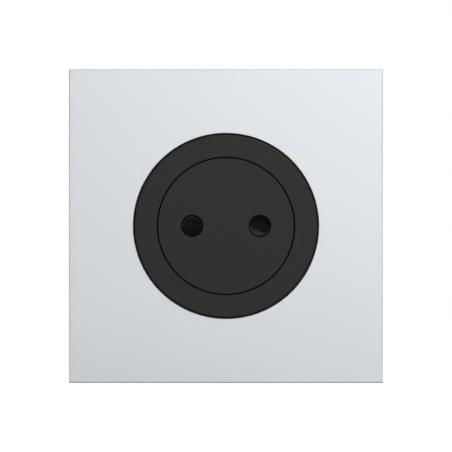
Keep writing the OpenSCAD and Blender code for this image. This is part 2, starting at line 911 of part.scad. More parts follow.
// Brass terminal block: wire holes from the back, clamp screws from the side and a rivet
// that holds the contact's tail
module terminal() {
    color([0.83, 0.66, 0.32]) difference() {
        union() {
            translate([block_in, -block_len / 2, block_low])
                cube([block_w, block_len, block_top - block_low]);
            translate([block_in - contact_t - rivet_end, 0, block_mid]) rotate([0, 90, 0])
                cylinder(r = rivet_r, h = contact_t + rivet_end + join);
        }
        for (y = [-1, 1]) {
            translate([wire_x, y * wire_y, 0]) post(wire_r, block_low - over, block_top + over);
            translate([wire_x, y * wire_y, block_mid]) rotate([0, 90, 0])
                cylinder(r = clamp_screw_r + screw_play, h = block_w);
        }
    }
}

// Clamp screws of one terminal, backed out so that a wire can enter
module terminal_screws() {
    color([0.75, 0.75, 0.72])
        for (y = [-1, 1]) translate([0, y * wire_y, block_mid]) rotate([0, 90, 0])
            difference() {
                union() {
                    post(clamp_screw_r, clamp_tip, clamp_head_at + join);
                    post(clamp_head_r, clamp_head_at, clamp_head_at + clamp_head_h);
                }
                translate([
                    -clamp_head_r - over,
                    -driver_slot_w / 2,
                    clamp_head_at + clamp_head_h - driver_slot_d
                ]) cube([2 * (clamp_head_r + over), driver_slot_w, driver_slot_d + over]);
            }
}

// Rear cover that closes the contact block, with an entry for each wire
module rear_cover() {
    color([0.62, 0.63, 0.64]) difference() {
        union() {
            post(base_r, rear_back + rear_edge, base_back);
            translate([0, 0, rear_back])
                cylinder(r1 = base_r - rear_edge, r2 = base_r, h = rear_edge);
            rotate(body_screw_angle) both_ways() translate([body_screw_at, 0, 0])
                post(body_boss_r, rear_back, base_back);
        }
        rotate(90) slot(gauge_w, gauge_len, rear_back - over, rear_back + gauge_d);
        for (x = [-1, 1], y = [-1, 1]) translate([x * wire_x, y * wire_y, 0]) {
            post(wire_entry_r, rear_back - over, base_back + over);
            translate([0, 0, rear_back - over])
                cylinder(
                    r1 = wire_entry_r + over + entry_cone,
                    r2 = wire_entry_r,
                    h = over + entry_cone
                );
        }
        rotate(body_screw_angle) both_ways() translate([body_screw_at, 0, 0])
            post(body_screw_r + screw_play, rear_back - over, base_back + over);
    }
}

// Long screws through the rear cover and the block into the well's bosses
module body_screws() {
    color([0.75, 0.75, 0.72])
        rotate(body_screw_angle) both_ways() translate([body_screw_at, 0, 0]) difference() {
            union() {
                post(body_screw_r, rear_back - join, base_front + body_screw_bite);
                post(body_head_r, rear_back - body_head_h, rear_back);
            }
            for (a = [0, 90]) rotate(a)
                translate([-body_screw_r, -driver_slot_w / 2, rear_back - body_head_h - over])
                    cube([2 * body_screw_r, driver_slot_w, over + driver_slot_d]);
        }
}

in_wall() cover_plate();
in_wall() plate_carrier();
in_wall() stud_washers();
in_wall() support_frame();
in_wall() frame_screws();
in_wall() trim_ring();
in_wall() well_housing();
in_wall() face_disc();
in_wall() shutter();
in_wall() shutter_spring();
in_wall() shutter_cover();
in_wall() shutter_screws();
in_wall() return_spring(1);  // return_spring_upper
in_wall() return_spring(-1);  // return_spring_lower
in_wall() base_block();
in_wall() mirror([1, 0, 0]) contact();  // contact_left
in_wall() contact();  // contact_right
in_wall() mirror([1, 0, 0]) contact_clip();  // contact_clip_left
in_wall() contact_clip();  // contact_clip_right
in_wall() mirror([1, 0, 0]) terminal();  // terminal_left
in_wall() terminal();  // terminal_right
in_wall() mirror([1, 0, 0]) terminal_screws();  // terminal_screws_left
in_wall() terminal_screws();  // terminal_screws_right
in_wall() rear_cover();
in_wall() body_screws();
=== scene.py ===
"""Looks of a flush two-pole wall socket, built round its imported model. Lengths in metres."""

import bmesh
import bpy
import numpy as np
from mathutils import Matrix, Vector


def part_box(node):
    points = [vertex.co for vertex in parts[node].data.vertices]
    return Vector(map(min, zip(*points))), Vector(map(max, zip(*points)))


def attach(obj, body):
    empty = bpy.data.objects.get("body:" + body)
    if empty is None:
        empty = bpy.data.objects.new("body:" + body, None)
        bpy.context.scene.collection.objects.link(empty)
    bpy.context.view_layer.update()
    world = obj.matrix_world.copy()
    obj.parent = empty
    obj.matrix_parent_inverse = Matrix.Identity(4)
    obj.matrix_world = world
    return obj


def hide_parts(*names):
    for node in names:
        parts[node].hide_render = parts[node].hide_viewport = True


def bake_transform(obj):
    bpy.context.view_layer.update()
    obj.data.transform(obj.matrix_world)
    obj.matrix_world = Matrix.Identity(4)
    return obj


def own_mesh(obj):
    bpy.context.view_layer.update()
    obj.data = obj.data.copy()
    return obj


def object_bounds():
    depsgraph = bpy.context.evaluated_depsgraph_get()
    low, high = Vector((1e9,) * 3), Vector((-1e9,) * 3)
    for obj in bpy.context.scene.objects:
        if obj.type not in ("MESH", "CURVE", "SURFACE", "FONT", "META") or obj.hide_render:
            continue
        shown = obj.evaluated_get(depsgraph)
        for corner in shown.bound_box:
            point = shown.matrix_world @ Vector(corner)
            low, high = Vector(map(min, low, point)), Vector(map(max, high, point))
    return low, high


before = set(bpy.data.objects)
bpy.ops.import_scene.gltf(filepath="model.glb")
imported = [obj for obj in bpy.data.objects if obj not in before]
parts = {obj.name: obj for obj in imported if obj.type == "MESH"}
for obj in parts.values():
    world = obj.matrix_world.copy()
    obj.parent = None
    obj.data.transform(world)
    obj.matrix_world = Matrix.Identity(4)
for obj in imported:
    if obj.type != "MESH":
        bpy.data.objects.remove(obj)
cad_low, cad_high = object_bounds()

# The camera looks straight at the plate through a long lens, so the plate's sides stay
# square. The photograph is 452 pixels wide and shows the 88 mm plate 314 pixels wide.
photo_width, plate_pixels = 452, 314
plate_low, plate_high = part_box("cover_plate")
plate_width = plate_high[0] - plate_low[0]
view_width = plate_width * photo_width / plate_pixels
camera_distance = 1.1
sensor = 36
nearest, furthest = 0.01, 20

camera_data = bpy.data.cameras.new("camera")
camera_data.sensor_width = sensor
camera_data.lens = sensor * camera_distance / view_width
camera_data.clip_start, camera_data.clip_end = nearest, furthest
camera = bpy.data.objects.new("camera", camera_data)
camera.location = (0, plate_low[1] - camera_distance, 0)
camera.rotation_euler = (np.pi / 2, 0, 0)
bpy.context.scene.collection.objects.link(camera)
bpy.context.scene.camera = camera
bpy.context.scene.view_settings.view_transform = "Standard"


# The surroundings are a plain white studio. What the camera and the metals see of them is
# white, and a softer level lights the surfaces.
world_light = 0.3

world = bpy.data.worlds.new("studio")
bpy.context.scene.world = world
world.use_nodes = True
air = world.node_tree
sky = air.nodes["Background"]
sky.inputs["Color"].default_value = (1, 1, 1, 1)


def seen_level(tree, unseen, seen, strength):
    """Sets a strength to one value for the rays that show a thing to the camera, straight,
    mirrored or through glass, and to another for all others."""
    rays = tree.nodes.new("ShaderNodeLightPath")
    total = rays.outputs["Is Camera Ray"]
    for kind in ("Is Glossy Ray", "Is Transmission Ray"):
        add = tree.nodes.new("ShaderNodeMath")
        add.operation, add.use_clamp = "ADD", True
        tree.links.new(total, add.inputs[0])
        tree.links.new(rays.outputs[kind], add.inputs[1])
        total = add.outputs[0]
    level = tree.nodes.new("ShaderNodeMapRange")
    level.inputs["To Min"].default_value = unseen
    level.inputs["To Max"].default_value = seen
    tree.links.new(total, level.inputs["Value"])
    tree.links.new(level.outputs["Result"], strength)


seen_level(air, world_light, 1, sky.inputs["Strength"])


# Six soft boxes: a strong key high on the right, whose sheen gives the plate its slow change
# from bright to grey, a weaker sheen light nearly in line with the camera, and faint ones on
# the left, above, on the right and behind, each mainly for one of the plate's edges.
def soft_box(name, place, aim, size, power):
    """A square lamp at a place, turned to face a point, that no camera sees."""
    lamp = bpy.data.lights.new(name, "AREA")
    lamp.shape, lamp.size, lamp.energy = "SQUARE", size, power
    holder = bpy.data.objects.new(name, lamp)
    holder.location = place
    beam = Vector(aim) - Vector(place)
    holder.rotation_euler = beam.to_track_quat("-Z", "Y").to_euler()
    holder.visible_camera = False
    bpy.context.scene.collection.objects.link(holder)


soft_box("key_light", place=(0.2, -0.38, 0.37), aim=(0.02, 0, 0.02), size=0.15, power=2.2)
soft_box("sheen_light", place=(0.13, -0.8, 0.17), aim=(0.02, 0, 0.02), size=0.26, power=0.5)
soft_box("fill_light", place=(-0.5, -0.5, 0.3), aim=(0, 0, 0), size=0.4, power=0.1)
soft_box("top_light", place=(0.04, -0.03, 0.5), aim=(0, 0, 0), size=0.3, power=0.22)
soft_box("side_light", place=(0.5, -0.03, 0.03), aim=(0, 0, 0), size=0.3, power=0.15)
soft_box("back_light", place=(0.2, 0.6, 0.3), aim=(0, 0.02, 0), size=0.4, power=0.9)


# The floor is a pale sheet below the socket, which hangs above it as on a wall. It keeps
# the socket's soft shadow, and fades into the white surroundings further out.
floor_gap = 0.035
floor_half = 3
floor_paint, floor_rough = (0.72, 0.72, 0.72, 1), 0.9
floor_lift = 0.8
fade_from, fade_to = 0.1, 0.3

floor_mesh = bpy.data.meshes.new("floor")
corners = floor_half * np.array([[-1, -1], [1, -1], [1, 1], [-1, 1]])
floor_z = cad_low[2] - floor_gap
floor_mesh.from_pydata([(x, y, floor_z) for x, y in corners], [], [(0, 1, 2, 3)])
floor = bpy.data.objects.new("floor", floor_mesh)
bpy.context.scene.collection.objects.link(floor)


def new_material(name):
    """A material with its node tree and its Principled shader."""
    material = bpy.data.materials.new(name)
    material.use_nodes = True
    return material, material.node_tree, material.node_tree.nodes["Principled BSDF"]


floor_material, tree, shader = new_material("pale_floor")
shader.inputs["Base Color"].default_value = floor_paint
shader.inputs["Roughness"].default_value = floor_rough
shader.inputs["Specular IOR Level"].default_value = 0
seen_level(tree, 0, floor_lift, shader.inputs["Emission Strength"])
away = tree.nodes.new("ShaderNodeVectorMath")
away.operation = "DISTANCE"
away.inputs[1].default_value = (0, 0, floor_z)
tree.links.new(tree.nodes.new("ShaderNodeTexCoord").outputs["Object"], away.inputs[0])
fade = tree.nodes.new("ShaderNodeMapRange")
fade.interpolation_type = "SMOOTHSTEP"
fade.inputs["From Min"].default_value = fade_from
fade.inputs["From Max"].default_value = fade_to
tree.links.new(away.outputs["Value"], fade.inputs["Value"])
tree.links.new(fade.outputs["Result"], shader.inputs["Emission Color"])
floor_mesh.materials.append(floor_material)


# The cover plate is cut from 2.5 mm aluminium sheet, its front edges chamfered, then
# blasted and clear anodised. Four studs on its back hold it to the carrier.
anodised_colour = (0.477, 0.493, 0.513)
# The second colour is painted shade: it makes the chamfers darker than the front, standing for
# the shade on them.
chamfer_painted_shade = (0.40, 0.41, 0.425)
blasted_rough, milled_rough = 0.46, 0.3
plate_chamfer, milled_blend = 0.0003, 0.0001


def joined(tree, kind, **links):
    """A node whose named inputs are linked to an output or set to a value."""
    node = tree.nodes.new(kind)
    for name, value in links.items():
        socket = node.inputs[name.replace("_", " ")]
        if isinstance(value, bpy.types.NodeSocket):
            tree.links.new(value, socket)
        else:
            socket.default_value = value
    return node


def new_group(name, inputs, outputs):
    """An empty node group with colour or number sockets, and its two end nodes."""
    group = bpy.data.node_groups.new(name, "ShaderNodeTree")
    for direction, sockets in (("INPUT", inputs), ("OUTPUT", outputs)):
        for socket_name, kind in sockets.items():
            group.interface.new_socket(
                socket_name, in_out=direction, socket_type="NodeSocket" + kind
            )
    return group, group.nodes.new("NodeGroupInput"), group.nodes.new("NodeGroupOutput")


def varied(tree, value, noise, amount):
    """value times 1 plus amount times the noise's distance from its middle."""
    noise_middle = 0.5
    centred = tree.nodes.new("ShaderNodeMath")
    centred.operation = "SUBTRACT"
    tree.links.new(noise, centred.inputs[0])
    centred.inputs[1].default_value = noise_middle
    scaled = tree.nodes.new("ShaderNodeMath")
    scaled.operation = "MULTIPLY_ADD"
    tree.links.new(centred.outputs[0], scaled.inputs[0])
    tree.links.new(amount, scaled.inputs[1])
    scaled.inputs[2].default_value = 1
    product = tree.nodes.new("ShaderNodeVectorMath")
    product.operation = "SCALE"
    tree.links.new(value, product.inputs[0])
    tree.links.new(scaled.outputs[0], product.inputs["Scale"])
    return product.outputs[0]


# Grain is what blasting leaves on metal and spark erosion leaves on moulded plastic: a
# fine even noise, with slow clouds over it.
cloud_share = 0.6

grain, start, end = new_group(
    "grain",
    {"Colour": "Color", "Roughness": "Float", "Grains per m": "Float",
     "Colour change": "Float", "Roughness change": "Float", "Clouds per m": "Float"},
    {"Colour": "Color", "Roughness": "Float", "Height": "Float"},
)
place = grain.nodes.new("ShaderNodeTexCoord").outputs["Object"]
fine = joined(grain, "ShaderNodeTexNoise", Vector=place, Scale=start.outputs["Grains per m"],
              Detail=2, Roughness=0.6)
cloud = joined(grain, "ShaderNodeTexNoise", Vector=place, Scale=start.outputs["Clouds per m"],
               Detail=3)
both = joined(grain, "ShaderNodeMix", Factor=cloud_share, A=fine.outputs[0],
              B=cloud.outputs[0])
tinted = varied(grain, start.outputs["Colour"], both.outputs[0],
                start.outputs["Colour change"])
rougher = varied(grain, start.outputs["Roughness"], both.outputs[0],
                 start.outputs["Roughness change"])
grain.links.new(tinted, end.inputs["Colour"])
grain.links.new(rougher, end.inputs["Roughness"])
grain.links.new(fine.outputs[0], end.inputs["Height"])


def dressed(name, group, values, bump, depth, metallic=0, specular=0.5):
    """A material whose colour, roughness and bump come from a group."""
    material, tree, shader = new_material(name)
    node = tree.nodes.new("ShaderNodeGroup")
    node.node_tree = group
    for socket, value in values.items():
        node.inputs[socket].default_value = value
    tree.links.new(node.outputs["Colour"], shader.inputs["Base Color"])
    tree.links.new(node.outputs["Roughness"], shader.inputs["Roughness"])
    relief = joined(tree, "ShaderNodeBump", Height=node.outputs["Height"],
                    Strength=bump, Distance=depth)
    tree.links.new(relief.outputs[0], shader.inputs["Normal"])
    shader.inputs["Metallic"].default_value = metallic
    shader.inputs["Specular IOR Level"].default_value = specular
    return material


def finish_node(name, material):
    """Gives a CAD part its material in every slot."""
    slots = parts[name].data.materials
    for i in range(max(1, len(slots))):
        if i < len(slots):
            slots[i] = material
        else:
            slots.append(material)


anodised = dressed(
    "anodised_aluminium", grain,
    {"Colour": (*anodised_colour, 1), "Roughness": blasted_rough, "Grains per m": 5000,
     "Colour change": 0.03, "Roughness change": 0.12, "Clouds per m": 60},
    bump=0.05, depth=0.00002, metallic=1,
)
# The chamfers are milled after the blasting, so they are smoother than the front, and their
# darker colour is painted shade.
# A colour Mix node has its two colours at the sockets 6 and 7, and its result at 2.
tree = anodised.node_tree
across = joined(tree, "ShaderNodeSeparateXYZ",
                Vector=tree.nodes.new("ShaderNodeTexCoord").outputs["Object"])
reach = []
for axis in ("X", "Z"):
    reach.append(joined(tree, "ShaderNodeMath", Value=across.outputs[axis]))
    reach[-1].operation = "ABSOLUTE"
outermost = tree.nodes.new("ShaderNodeMath")
outermost.operation = "MAXIMUM"
for i, distance in enumerate(reach):
    tree.links.new(distance.outputs[0], outermost.inputs[i])
chamfer_from = plate_width / 2 - plate_chamfer
milled_and_shaded = joined(tree, "ShaderNodeMapRange", Value=outermost.outputs[0])
milled_and_shaded.inputs["From Min"].default_value = chamfer_from - milled_blend
milled_and_shaded.inputs["From Max"].default_value = chamfer_from
rough = joined(tree, "ShaderNodeMix", Factor=milled_and_shaded.outputs[0], A=blasted_rough,
               B=milled_rough)
shade = tree.nodes.new("ShaderNodeMix")
shade.data_type = "RGBA"
tree.links.new(milled_and_shaded.outputs[0], shade.inputs["Factor"])
shade.inputs[6].default_value = (*anodised_colour, 1)
shade.inputs[7].default_value = (*chamfer_painted_shade, 1)
tree.links.new(rough.outputs[0], tree.nodes["Group"].inputs["Roughness"])
tree.links.new(shade.outputs[2], tree.nodes["Group"].inputs["Colour"])
finish_node("cover_plate", anodised)


# The ring and the sprung face are moulded in one black plastic with the same spark-eroded
# surface. The ring hooks into the well's flange, and the face slides in the well.
front_black = (0.006, 0.0059, 0.006)

black_front = dressed(
    "black_front", grain,
    {"Colour": (*front_black, 1), "Roughness": 0.5, "Grains per m": 4200,
     "Colour change": 0.25, "Roughness change": 0.1, "Clouds per m": 120},
    bump=0.22, depth=0.00003, specular=0.24,
)
finish_node("trim_ring", black_front)
finish_node("face_disc", black_front)


# The rotary shutter is moulded in a slippery black plastic with a dull skin. The pins slide
# along its ramps, and it turns on the post in the middle of the face.
shutter_black = (0.038, 0.038, 0.038)

finish_node("shutter", dressed(
    "black_shutter", grain,
    {"Colour": (*shutter_black, 1), "Roughness": 0.42, "Grains per m": 2500,
     "Colour change": 0.2, "Roughness change": 0.2, "Clouds per m": 250},
    bump=0.08, depth=0.00002, specular=0.05,
))


# The well, the shutter's cover and the plate's carrier are moulded in plain black plastic.
# Their tools were only machined, so their surface is a little glossier and less even.
housing_black = (0.020, 0.020, 0.021)

black_housing = dressed(
    "black_housing", grain,
    {"Colour": (*housing_black, 1), "Roughness": 0.5, "Grains per m": 1800,
     "Colour change": 0.25, "Roughness change": 0.22, "Clouds per m": 180},
    bump=0.16, depth=0.00003, specular=0.42,
)
for name in ("well_housing", "shutter_cover", "plate_carrier"):
    finish_node(name, black_housing)


# The contact block and its rear cover are pressed from grey thermoset, a hard material
# with a dull skin and faint speckles of its filler.
thermoset_grey = (0.30, 0.31, 0.32)

grey_block = dressed(
    "grey_thermoset", grain,
    {"Colour": (*thermoset_grey, 1), "Roughness": 0.55, "Grains per m": 3000,
     "Colour change": 0.16, "Roughness change": 0.15, "Clouds per m": 90},
    bump=0.12, depth=0.00003, specular=0.45,
)
for name in ("base_block", "rear_cover"):
    finish_node(name, grey_block)


# The support frame is pressed from 1.2 mm steel and zinc plated. The plating is a bluish
# grey with slow yellowish clouds, over the fine lines that the rolling mill left.
patch_from, patch_to = 0.35, 0.7

plated, start, end = new_group(
    "plated",
    {"Colour": "Color", "Tint": "Color", "Roughness": "Float", "Lines per m": "Vector",
     "Line change": "Float", "Clouds per m": "Float"},
    {"Colour": "Color", "Roughness": "Float", "Height": "Float"},
)
place = plated.nodes.new("ShaderNodeTexCoord").outputs["Object"]
stretch = plated.nodes.new("ShaderNodeVectorMath")
stretch.operation = "MULTIPLY"
plated.links.new(place, stretch.inputs[0])
plated.links.new(start.outputs["Lines per m"], stretch.inputs[1])
lines = joined(plated, "ShaderNodeTexNoise", Vector=stretch.outputs[0], Scale=1, Detail=3)
cloud = joined(plated, "ShaderNodeTexNoise", Vector=place, Scale=start.outputs["Clouds per m"],
               Detail=4, Roughness=0.6)
patch = joined(plated, "ShaderNodeMapRange", Value=cloud.outputs[0])
patch.inputs["From Min"].default_value = patch_from
patch.inputs["From Max"].default_value = patch_to
mixed = plated.nodes.new("ShaderNodeMix")
mixed.data_type = "RGBA"
plated.links.new(patch.outputs[0], mixed.inputs["Factor"])
plated.links.new(start.outputs["Colour"], mixed.inputs[6])
plated.links.new(start.outputs["Tint"], mixed.inputs[7])
tinted = varied(plated, mixed.outputs[2], lines.outputs[0], start.outputs["Line change"])
rougher = varied(plated, start.outputs["Roughness"], lines.outputs[0],
                 start.outputs["Line change"])
plated.links.new(tinted, end.inputs["Colour"])
plated.links.new(rougher, end.inputs["Roughness"])
plated.links.new(lines.outputs[0], end.inputs["Height"])

zinc_colour, zinc_tint = (0.50, 0.53, 0.56), (0.56, 0.55, 0.50)

finish_node("support_frame", dressed(
    "zinc_plated_steel", plated,
    {"Colour": (*zinc_colour, 1), "Tint": (*zinc_tint, 1), "Roughness": 0.36,
     "Lines per m": (120, 4000, 4000), "Line change": 0.3, "Clouds per m": 70},
    bump=0.08, depth=0.00002, metallic=1,
))


# The contacts are stamped from brass strip, and the terminals are sawn from brass bar. Both
# show fine drawing lines and a slight warm tarnish.
brass_colour, brass_tarnish = (0.78, 0.58, 0.27), (0.66, 0.44, 0.19)

strip_brass = dressed(
    "stamped_brass", plated,
    {"Colour": (*brass_colour, 1), "Tint": (*brass_tarnish, 1), "Roughness": 0.3,
     "Lines per m": (300, 300, 9000), "Line change": 0.25, "Clouds per m": 240},
    bump=0.06, depth=0.00002, metallic=1,
)
bar_brass = dressed(
    "sawn_brass", plated,
    {"Colour": (*brass_colour, 1), "Tint": (*brass_tarnish, 1), "Roughness": 0.38,
     "Lines per m": (5000, 5000, 400), "Line change": 0.35, "Clouds per m": 160},
    bump=0.12, depth=0.00003, metallic=1,
)
for side in ("left", "right"):
    finish_node("contact_" + side, strip_brass)
    finish_node("terminal_" + side, bar_brass)


# The clips round the contacts are bent from blued spring-steel strip.
steel_colour, steel_tint = (0.50, 0.52, 0.55), (0.42, 0.45, 0.52)

spring_steel = dressed(
    "spring_steel", plated,
    {"Colour": (*steel_colour, 1), "Tint": (*steel_tint, 1), "Roughness": 0.28,
     "Lines per m": (900, 6000, 900), "Line change": 0.3, "Clouds per m": 300},
    bump=0.05, depth=0.00001, metallic=1,
)
for side in ("left", "right"):
    finish_node("contact_clip_" + side, spring_steel)


# The two return springs are coiled from 0.6 mm steel wire, with the last turn at each end
# wound close. They stand in pockets of the block and push the face out.
merge_distance = 1e-7


def new_piece(name, vertices, faces, material, body, sharp=np.pi):
    """A mesh object from arrays of points and faces, with its doubles merged, its faces
    turned outwards and its edges sharp beyond an angle, that moves with a body."""
    mesh = bpy.data.meshes.new(name)
    mesh.from_pydata(np.asarray(vertices).tolist(), [], [list(map(int, f)) for f in faces])
    shape = bmesh.new()
    shape.from_mesh(mesh)
    bmesh.ops.remove_doubles(shape, verts=shape.verts, dist=merge_distance)
    bmesh.ops.recalc_face_normals(shape, faces=shape.faces)
    shape.to_mesh(mesh)
    shape.free()
    mesh.polygons.foreach_set("use_smooth", np.full(len(mesh.polygons), True))
    mesh.set_sharp_from_angle(angle=sharp)
    mesh.materials.append(material)
    piece = bpy.data.objects.new(name, mesh)
    bpy.context.scene.collection.objects.link(piece)
    if body:
        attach(piece, body)
    return piece


def grid_faces(rows, columns, wrap):
    """The four-sided faces of a grid of points, joined round if it wraps."""
    row = np.arange(rows - 1)[:, None]
    column = np.arange(columns if wrap else columns - 1)[None, :]
    beside = (column + 1) % columns
    corners = (row * columns + column, row * columns + beside,
               (row + 1) * columns + beside, (row + 1) * columns + column)
    return np.stack(corners, axis=-1).reshape(-1, 4)


def wire_tube(path, outward, radius, sides=12):
    """A round wire along a path. Each ring is a circle in the plane across the path: the
    path's point plus radius times (cos a times outward + sin a times the third axis)."""
    along = np.gradient(path, axis=0)
    along /= np.linalg.norm(along, axis=1, keepdims=True)
    out = outward - (outward * along).sum(axis=1, keepdims=True) * along
    out /= np.linalg.norm(out, axis=1, keepdims=True)
    third = np.cross(along, out)
    a = np.linspace(0, 2 * np.pi, sides, endpoint=False)[None, :, None]
    rings = path[:, None] + radius * (np.cos(a) * out[:, None] + np.sin(a) * third[:, None])
    faces = [*grid_faces(len(path), sides, wrap=True)]
    faces.append(np.arange(sides)[::-1])
    faces.append(np.arange(sides) + (len(path) - 1) * sides)
    return rings.reshape(-1, 3), faces


return_wire, return_turns, close_pitch = 0.0006, 11, 1.35
steps_per_turn = 36

for name in ("return_spring_upper", "return_spring_lower"):
    low, high = map(np.array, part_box(name))
    middle = (low + high) / 2
    length = high[1] - low[1]
    mean_radius = (high[0] - low[0] - return_wire) / 2
    turn = np.linspace(0, return_turns, return_turns * steps_per_turn + 1)
    close = close_pitch * return_wire
    free = (length - return_wire - 2 * close) / (return_turns - 2)
    # Depth behind the front end: close end turns, and an even pitch between them
    depth = np.interp(turn, [0, 1, return_turns - 1, return_turns],
                      [0, close, close + free * (return_turns - 2), length - return_wire])
    angle = 2 * np.pi * turn
    outward = np.stack([np.cos(angle), 0 * angle, np.sin(angle)], axis=1)
    path = middle * (1, 0, 1) + mean_radius * outward
    path[:, 1] = high[1] - return_wire / 2 - depth
    spring = new_piece(name + "_wire", *wire_tube(path, outward, return_wire / 2),
                       spring_steel, "socket")
    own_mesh(spring)
    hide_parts(name)


# The shutter's own spring is two and a half turns of 0.4 mm wire with a straight tang at
# each end: the front one sits in the face, the rear one in the shutter.
torsion_wire, torsion_turns = 0.0004, 2.5
tang, tang_rings = 0.0008, 6

low, high = map(np.array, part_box("shutter_spring"))
torsion_radius = (high[0] - low[0] - torsion_wire) / 2
rear, front = high[1] - tang, low[1] + tang
turn = np.linspace(0, torsion_turns, int(torsion_turns * steps_per_turn) + 1)
angle = np.pi + 2 * np.pi * turn
outward = np.stack([np.cos(angle), 0 * angle, np.sin(angle)], axis=1)
path = torsion_radius * outward
path[:, 1] = np.interp(turn, [0, torsion_turns], [rear, front])
rear_tang = np.repeat(path[:1], tang_rings, axis=0)
rear_tang[:, 1] = np.linspace(high[1], rear + torsion_wire / 2, tang_rings)
front_tang = np.repeat(path[-1:], tang_rings, axis=0)
front_tang[:, 1] = np.linspace(front - torsion_wire / 2, low[1], tang_rings)
path = np.concatenate([rear_tang, path[1:-1], front_tang])
outward = np.concatenate([outward[:1].repeat(tang_rings, axis=0), outward[1:-1],
                          outward[-1:].repeat(tang_rings, axis=0)])
torsion = new_piece("shutter_spring_wire", *wire_tube(path, outward, torsion_wire / 2),
                    spring_steel, None)
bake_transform(torsion)
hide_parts("shutter_spring")


# Two screws hold the well's flange to the frame. They are cold headed and rolled from
# steel, countersunk, with a cross recess, and plated with yellowish zinc.
screw_colour, screw_tint = (0.56, 0.53, 0.44), (0.50, 0.50, 0.48)
# The recess colour is painted shade, dark where the screws' recesses hold shade.
recess_painted_shade = (0.10, 0.095, 0.085)
recess_wall, recess_dish = 0.00006, 0.45
thread_gap = 0.0001
crease = 0.6

screw_zinc = dressed(
    "plated_screws", plated,
    {"Colour": (*screw_colour, 1), "Tint": (*screw_tint, 1), "Roughness": 0.3,
     "Lines per m": (2500, 2500, 2500), "Line change": 0.3, "Clouds per m": 500},
    bump=0.08, depth=0.00002, metallic=1,
)
# Painted shade: the recesses, which the point attribute "sunk" marks, are coloured dark to
# stand for the shade in them
tree = screw_zinc.node_tree
sunk = tree.nodes.new("ShaderNodeAttribute")
sunk.attribute_name = "sunk"
recess_shade_mix = tree.nodes.new("ShaderNodeMix")
recess_shade_mix.data_type = "RGBA"
tree.links.new(sunk.outputs["Fac"], recess_shade_mix.inputs["Factor"])
recess_shade_mix.inputs[6].default_value = (*screw_colour, 1)
recess_shade_mix.inputs[7].default_value = (*recess_painted_shade, 1)
tree.links.new(recess_shade_mix.outputs[2], tree.nodes["Group"].inputs["Colour"])


def mark_recesses(piece, tops, axis, reach, depth):
    """Writes a value at each point: 1 in a recess, within reach of the axis through one of
    the tops and between the shares mark_from and mark_to of depth below it, or else 0."""
    mark_from, mark_to, margin = 0.3, 1.05, 1.01
    points = np.empty(3 * len(piece.data.vertices))
    piece.data.vertices.foreach_get("co", points)
    points = points.reshape(-1, 3)
    sunk = np.zeros(len(points))
    for top in tops:
        below = (np.array(top) - points) @ np.array(axis, dtype=float)
        aside = np.linalg.norm(points - top + below[:, None] * axis, axis=1)
        inside = (below > mark_from * depth) & (below < mark_to * depth)
        sunk[(aside < margin * reach) & inside] = 1
    piece.data.attributes.new("sunk", "FLOAT", "POINT").data.foreach_set("value", sunk)


def together(shapes):
    """Several shapes as one list of points and one list of faces."""
    points, faces, count = [], [], 0
    for vertices, polygons in shapes:
        points.append(vertices)
        faces += [np.asarray(polygon) + count for polygon in polygons]
        count += len(vertices)
    return np.concatenate(points), faces


def recessed_head(profile, arms, depth, dome=0.0):
    """A turned head with a recess. profile is its side from the top's edge down, as pairs
    of radius and height. The recess is the union of rectangles with half sides arms, its
    walls lean in, and its floor is depth (1 - dish r / reach) deep at the radius r. Round
    it the top is dome (1 - (r / edge)^2) high, up to a circle round the square grid."""
    reach, narrow = max(map(max, arms)), min(map(min, arms))
    between = np.linspace(narrow, reach - recess_wall, 7)
    half = np.array([0, narrow - recess_wall, *between, reach])
    lines = np.concatenate([-half[:0:-1], half])
    x, y = np.meshgrid(lines, lines, indexing="ij")
    r = np.hypot(x, y)
    edge = profile[0][0]
    low = sum((abs(x) < a - recess_wall / 2) & (abs(y) < b - recess_wall / 2) for a, b in arms)
    z = profile[0][1] + dome * (1 - (r / edge) ** 2)
    z = np.where(low > 0, profile[0][1] - depth * (1 - recess_dish * r / reach), z)
    top = np.stack([x, y, z], axis=-1)
    # The grid's border, once round, and rings from it to the edge and down the side
    border = np.concatenate([top[:-1, 0], top[-1, :-1], top[:0:-1, -1], top[0, :0:-1]])
    a = np.arctan2(border[:, 1], border[:, 0])
    circle = np.stack([np.cos(a), np.sin(a), 0 * a], axis=-1)
    rings = [border]
    for share in (1 / 3, 2 / 3):
        ring = border + share * (edge * circle - border)
        ring[:, 2] = profile[0][1] + dome * (1 - (np.hypot(*ring.T[:2]) / edge) ** 2)
        rings.append(ring)
    rings += [radius * circle + (0, 0, height) for radius, height in profile]
    side = np.concatenate(rings)
    return together([(top.reshape(-1, 3), grid_faces(len(lines), len(lines), wrap=False)),
                     (side, grid_faces(len(rings), len(border), wrap=True))])


def rolled_thread(radius, pitch, high, low, sides=32, steps=8):
    """A rolled thread along z. Its radius at the angle a and height z is radius less the
    thread's depth times the triangle wave of z / pitch - a / 2 pi, and at most that of a
    cone at the tip. The grid's rows climb with the thread and stop at both ends."""
    thread_depth, tip_radius = 0.54 * pitch, 0.6 * radius
    a = np.linspace(0, 2 * np.pi, sides + 1)[None]
    row = np.arange(-steps, int(np.ceil((high - low) / pitch)) * steps + 1)[:, None]
    z = np.clip(low + pitch * (row / steps + a / (2 * np.pi)), low, high)
    phase = (z - low) / pitch - a / (2 * np.pi)
    wave = 2 * abs(phase - np.round(phase))
    r = np.minimum(radius - thread_depth * wave, tip_radius + z - low)
    points = np.stack([r * np.cos(a), r * np.sin(a), z], axis=-1)
    faces = [*grid_faces(len(row), sides + 1, wrap=False)]
    faces += [np.arange(sides)[::-1], np.arange(sides) + (len(row) - 1) * (sides + 1)]
    return points.reshape(-1, 3), faces


